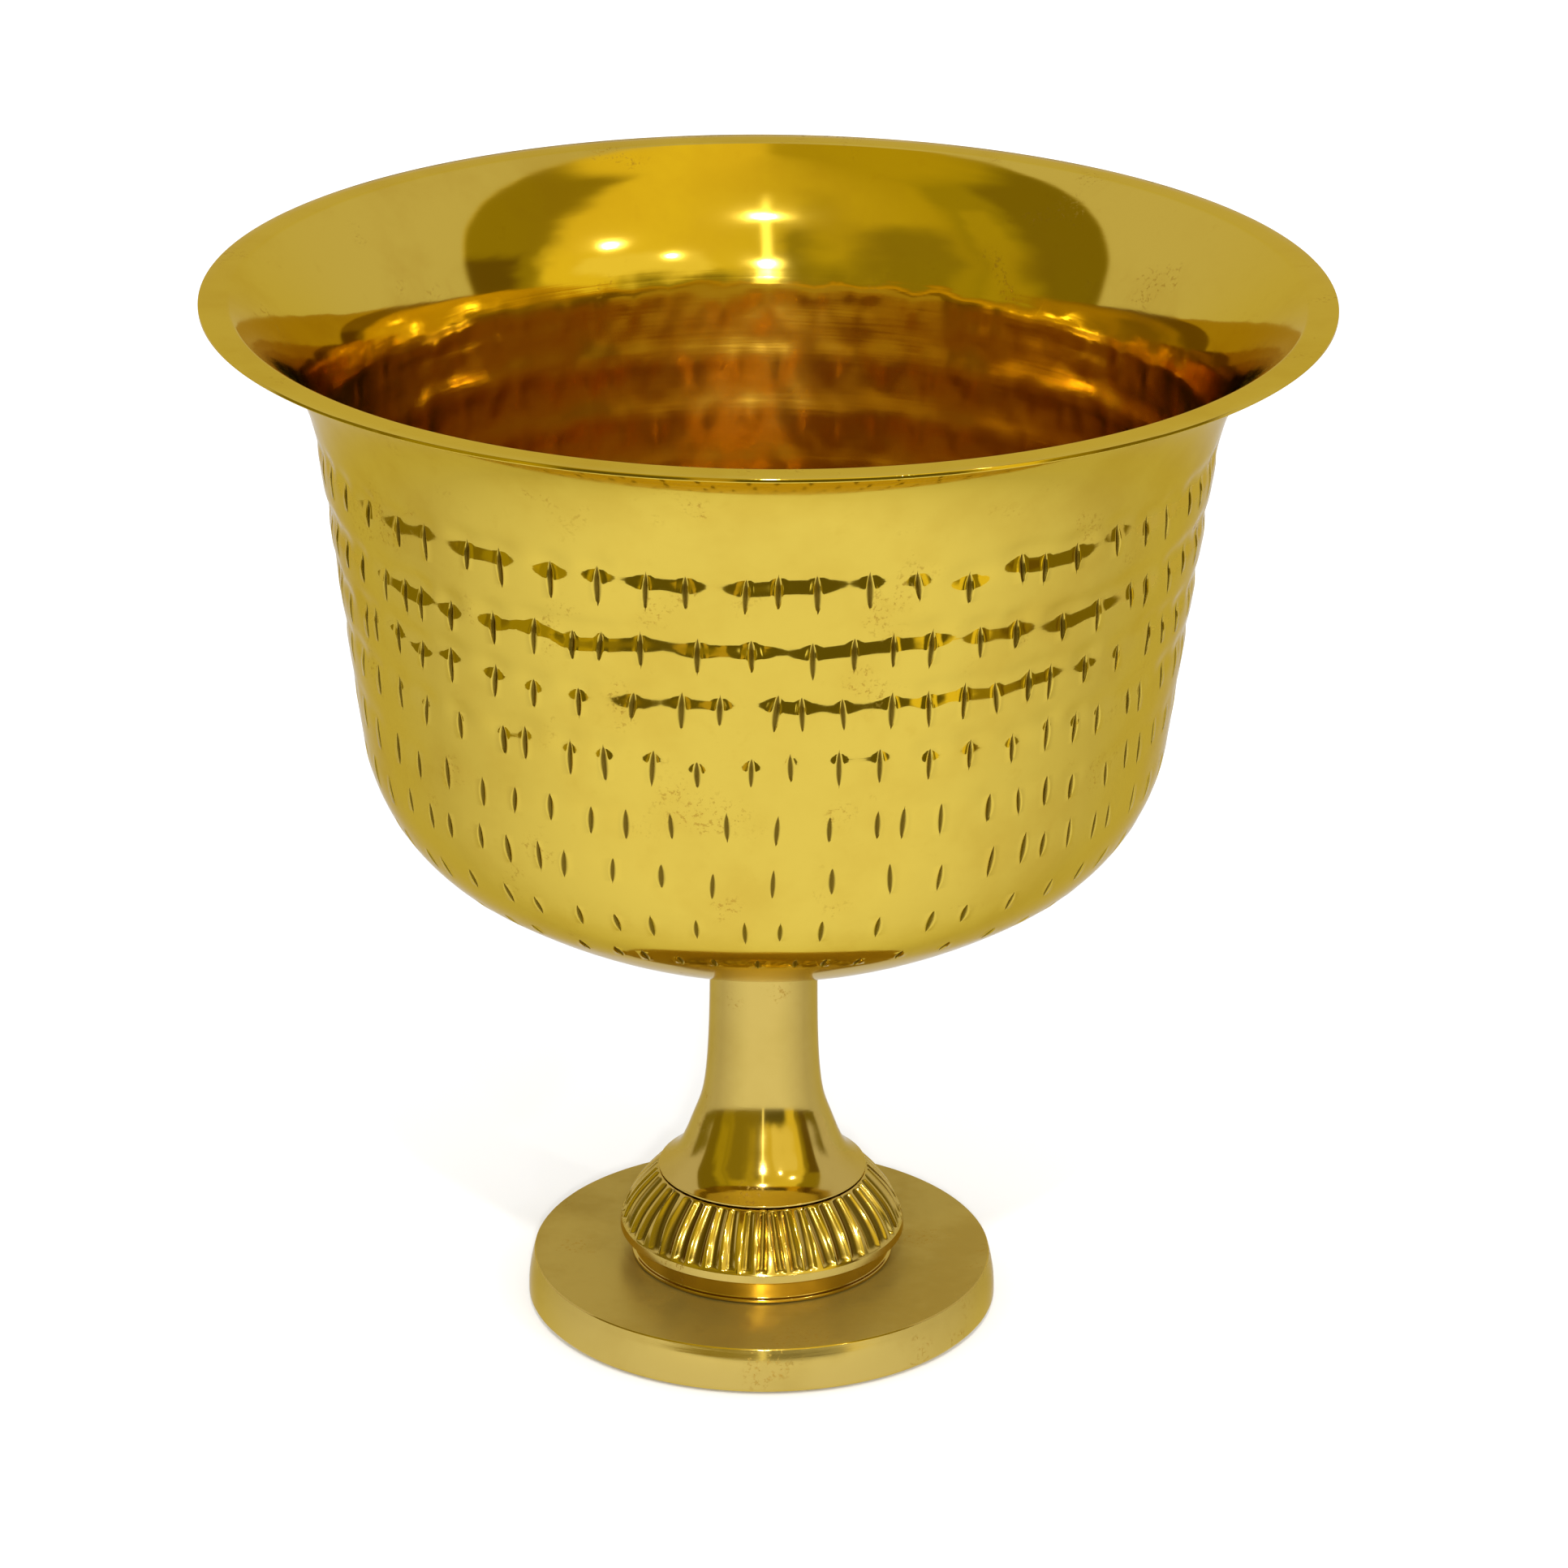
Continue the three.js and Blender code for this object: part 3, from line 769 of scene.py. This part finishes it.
# the side leans in and swells a little
for k in range(1, 12):
    t = k / 12
    corners.append((side - 1.3 * t + 1.4 * t * (1 - t), lift + 0.9 + (top - lift - 1.5) * t, 0.2))
corners += [(side - 1.35, top - 0.25, 0.2), (side - 1.6, top, 0.2), (HOLE, top, 0.2)]
base = body("base_skin", *lathe(rounded(corners), 160), satin_brass, "base_disc", "satin_brass")
base.data.materials.append(turned_brass)  # for its bright side
for polygon in base.data.polygons:
    middle = polygon.center
    if math.hypot(middle.x, middle.y) / MM > side - 1.6 and middle.z / MM > lift + 0.2:
        polygon.material_index = 1


# ---------------------------------------------------------------- felt, rod, gaskets, washers, nuts

def ring_piece(node, inner, material, slot, edge, segments=96):
    """A flat ring with a square section and rounded edges."""
    low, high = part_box(node)
    outer, bottom, top = high.x / MM, low.z / MM, high.z / MM
    corners = [(inner, bottom, edge), (outer, bottom, edge), (outer, top, edge), (inner, top, edge)]
    return body(node + "_skin", *lathe(rounded(corners), segments), material, node, slot)


ring_piece("felt_ring", FELT_INNER, felt, "felt", 0.5, 144)
ring_piece("stem_gasket", HOLE, rubber, "rubber", 0.3)
ring_piece("sealing_washer", HOLE, rubber, "rubber", 0.4)
ring_piece("top_washer", HOLE, turned_brass, "polished_brass", 0.15)
ring_piece("plate_washer", HOLE, zinc_steel, "zinc_steel", 0.15)
# These keep their CAD meshes.
for node, material, slot in (
    ("tie_rod", zinc_steel, "zinc_steel"),
    ("spring_washer", zinc_steel, "zinc_steel"),
    ("thin_nut", zinc_steel, "zinc_steel"),
    ("dome_nut", turned_brass, "polished_brass"),
):
    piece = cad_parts[node]
    piece.data.materials.clear()
    piece.data.materials.append(material)
    bevel = piece.modifiers.new("edges", "BEVEL")
    bevel.width = 0.00012
    bevel.segments = 2
    bevel.limit_method = "ANGLE"
    bevel.angle_limit = math.radians(35)


# ---------------------------------------------------------------- floor, room and lights

scene = bpy.context.scene
scene.view_settings.view_transform = "Standard"


def disc(name, radius, z, material):
    """A flat round sheet of paper on the stage."""
    mesh = bpy.data.meshes.new(name)
    angles = np.linspace(0, 2 * math.pi, 96, endpoint=False)
    rim = [(radius * math.cos(a), radius * math.sin(a), 0.0) for a in angles]
    mesh.from_pydata(rim, [], [tuple(range(len(rim)))])
    mesh.materials.append(material)
    obj = bpy.data.objects.new(name, mesh)
    scene.collection.objects.link(obj)
    obj.location.z = z
    return obj


def paper(n, colour):
    """Makes n a matt paper."""
    n.link(colour, n.shader.inputs["Base Color"])
    n.shader.inputs["Roughness"].default_value = 0.9
    n.shader.inputs["Specular IOR Level"].default_value = 0.0


n = Surface("floor_paper")
paper(n, n.mix(n.noise(n.place, 3.0, 2.0), (0.81, 0.81, 0.81), (0.83, 0.83, 0.83)))
floor = disc("floor", 0.9, START_BOUNDS[0][2] - 0.0002, n.material)
floor.visible_glossy = False

# What the metal sees as the floor: the same paper, with painted shade that makes it darker at the sides and
# behind than in front.
n = Surface("floor_in_metal")
split = n.add("ShaderNodeSeparateXYZ")
n.link(n.place, split.inputs[0])
length = n.add("ShaderNodeVectorMath", operation="LENGTH")
n.link(n.place, length.inputs[0])
forward = n.math("MULTIPLY", split.outputs[1], -1.0)
frontness = n.math("DIVIDE", forward, n.math("ADD", length.outputs["Value"], 0.05))
# painted light: the paper's colour falls from the bright front to darker sides and back
painted_light_falloff = n.add("ShaderNodeMapRange")
n.link(frontness, painted_light_falloff.inputs["Value"])
painted_light_falloff.inputs["From Min"].default_value = -0.05
painted_light_falloff.inputs["From Max"].default_value = 0.72
paper(n, n.mix(painted_light_falloff.outputs["Result"], (0.64, 0.62, 0.60), (0.97, 0.965, 0.945)))
card = disc("floor_in_metal", 0.6, START_BOUNDS[0][2] - 0.0004, n.material)
card.visible_camera = False
card.visible_diffuse = False
card.visible_shadow = False


def room():
    """A white tent behind and at the sides, and a darker room in front, as the brass sees it."""
    world = bpy.data.worlds.new("room")
    scene.world = world
    world.use_nodes = True
    n = Nodes(world.node_tree)
    for node in list(n.tree.nodes):
        n.tree.nodes.remove(node)

    def band(value, low, high, soft):
        """1 between low and high, falling to 0 over soft on each side."""
        rising = n.step(value, low - soft, low + soft)
        return n.math("MULTIPLY", rising, n.step(value, high - soft, high + soft, 1.0, 0.0))

    ways = n.add("ShaderNodeTexCoord").outputs["Generated"]
    split = n.add("ShaderNodeSeparateXYZ")
    n.link(ways, split.inputs[0])
    x, y, z = split.outputs
    degrees = math.degrees(1)
    azimuth = n.math("MULTIPLY", n.math("ARCTAN2", x, n.math("MULTIPLY", y, -1.0)), degrees)
    rise = n.math("MULTIPLY", n.math("ARCSINE", z), degrees)
    shift = n.math("MULTIPLY", n.math("SUBTRACT", n.noise(ways, 4.0, 4.0), 0.5), 20.0)
    az = n.math("ADD", azimuth, shift)
    el = n.math("ADD", rise, n.math("MULTIPLY", shift, 0.6))
    # the room ends, and the tent begins, at a slanted plane a little behind the object
    slant = n.math("ADD", n.math("ADD", y, n.math("MULTIPLY", z, -0.3)), n.math("MULTIPLY", x, 0.1))
    front = n.step(slant, -0.08, -0.12)
    warm = n.mix(n.step(azimuth, -60.0, 45.0), (0.58, 0.46, 0.02), (1.05, 0.86, 0.12))
    colour = n.mix(front, (0.73, 0.69, 0.66), warm)
    # (azimuth from, to, elevation from, to, softness, only in front, colour)
    shapes = (
        (-44, 41, -60, 10, 5, False, (0.15, 0.125, 0.012)),
        (-118, -84, -40, 4, 3, False, (0.27, 0.22, 0.012)),
        (58, 103, -40, 4, 3, False, (0.24, 0.19, 0.01)),
        (-160, -54, -40, 68, 5, True, (0.42, 0.34, 0.012)),
        (-160, -74, -40, 64, 4, True, (0.26, 0.20, 0.008)),
        (-70, -60, 8, 50, 2, True, (0.52, 0.42, 0.02)),
        (60, 160, -40, 68, 4, True, (0.36, 0.28, 0.01)),
        (68, 90, -40, 26, 4, True, (0.17, 0.11, 0.004)),
        (-15, -7, -60, -6, 1, False, (0.62, 0.46, 0.06)),
        (16, 50, 11, 22, 2, True, (1.15, 1.0, 0.35)),
        (-52, -3, -10, 38, 6, True, (0.34, 0.27, 0.015)),
        (-25, -12, 12, 60, 7, True, (0.6, 0.48, 0.03)),
    )
    for a0, a1, e0, e1, soft, only_front, tone in shapes:
        mask = n.math("MULTIPLY", band(az, a0, a1, soft), band(el, e0, e1, soft))
        if only_front:
            mask = n.math("MULTIPLY", mask, front)
        colour = n.mix(mask, colour, tone)
    # the glare above and below the flash
    glare = n.math("MULTIPLY", band(azimuth, -0.6, 2.0, 0.8), band(rise, -10.0, 58.0, 6.0))
    colour = n.mix(n.math("MULTIPLY", glare, 0.7), colour, (3.0, 2.9, 1.9))
    # reflections see the room, and everything else a plain white light
    seen = n.add("ShaderNodeBackground")
    n.link(colour, seen.inputs[0])
    soft_light = n.add("ShaderNodeBackground")
    soft_light.inputs[0].default_value = (1, 1, 1, 1)
    soft_light.inputs[1].default_value = 1.36
    either = n.add("ShaderNodeMixShader")
    n.link(n.add("ShaderNodeLightPath").outputs["Is Glossy Ray"], either.inputs[0])
    n.link(soft_light.outputs[0], either.inputs[1])
    n.link(seen.outputs[0], either.inputs[2])
    n.link(either.outputs[0], n.add("ShaderNodeOutputWorld").inputs[0])


room()


def lamp(name, place, radius, power):
    """A small round lamp, which shows in the metal."""
    data = bpy.data.lights.new(name, "POINT")
    data.energy = power
    data.shadow_soft_size = radius
    obj = bpy.data.objects.new(name, data)
    obj.location = place
    scene.collection.objects.link(obj)


def toward(azimuth, elevation, distance):
    """A place seen from a point inside the bowl at angles in degrees, from the front and the horizon."""
    a, e = math.radians(azimuth), math.radians(elevation)
    middle = Vector((0, 0, 0.15))
    return middle + distance * Vector((math.sin(a) * math.cos(e), -math.cos(a) * math.cos(e), math.sin(e)))


lamp("flash", toward(1, 19, 1.45), 0.028, 30.0)
lamp("ceiling_lamp", toward(1, 49, 1.9), 0.04, 45.0)
lamp("far_lamp", toward(44, 31, 2.4), 0.03, 20.0)
lamp("near_lamp", toward(26, 23, 2.4), 0.02, 9.0)


# ---------------------------------------------------------------- camera

# Fitted to the photo's rim and to the edges of its base.
camera_data = bpy.data.cameras.new("camera")
camera_data.sensor_width = 36.0
camera_data.lens = 145.14
camera_data.shift_x = 0.0121
camera_data.shift_y = 0.0
camera = bpy.data.objects.new("camera", camera_data)
scene.collection.objects.link(camera)
scene.camera = camera
camera.location = (0.0, -1.350, 0.6723)
PITCH, ROLL = 21.915, 0.402
look = Vector((0, math.cos(math.radians(PITCH)), -math.sin(math.radians(PITCH))))
turn = look.to_track_quat("-Z", "Y")
camera.rotation_mode = "QUATERNION"
camera.rotation_quaternion = turn @ Quaternion((0, 0, 1), math.radians(ROLL))
